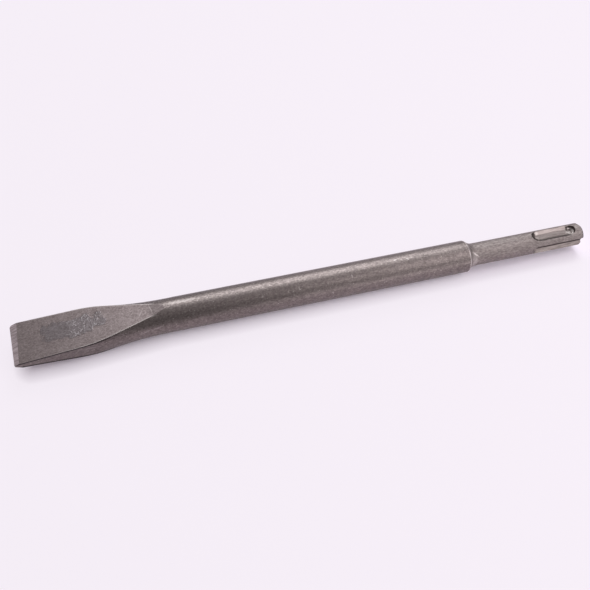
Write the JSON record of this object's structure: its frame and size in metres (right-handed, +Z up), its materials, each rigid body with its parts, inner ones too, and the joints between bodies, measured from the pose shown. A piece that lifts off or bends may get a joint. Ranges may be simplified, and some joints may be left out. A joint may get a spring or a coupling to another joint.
{
  "type": "flat chisel bit",
  "caption": "Flat chisel bit with a wide ground edge on a flared blade, a round steel body and a thinner round shank with locking grooves and open drive slots.",
  "frame": {"origin": "middle of the underside of the bounding box, on the surface that the chisel lies on", "axes": "+X along the chisel's axis from the cutting edge towards the shank's end, +Y across the blade's width, +Z up, square to the plane midway between the blade's flats"},
  "size_m": [0.25, 0.0188, 0.014],
  "materials": {
    "steel": "blasted tool steel, semi-matt, with forging scale on the flats"
  },
  "bodies": {
    "root": {"chisel": "steel"}
  },
  "joints": []
}
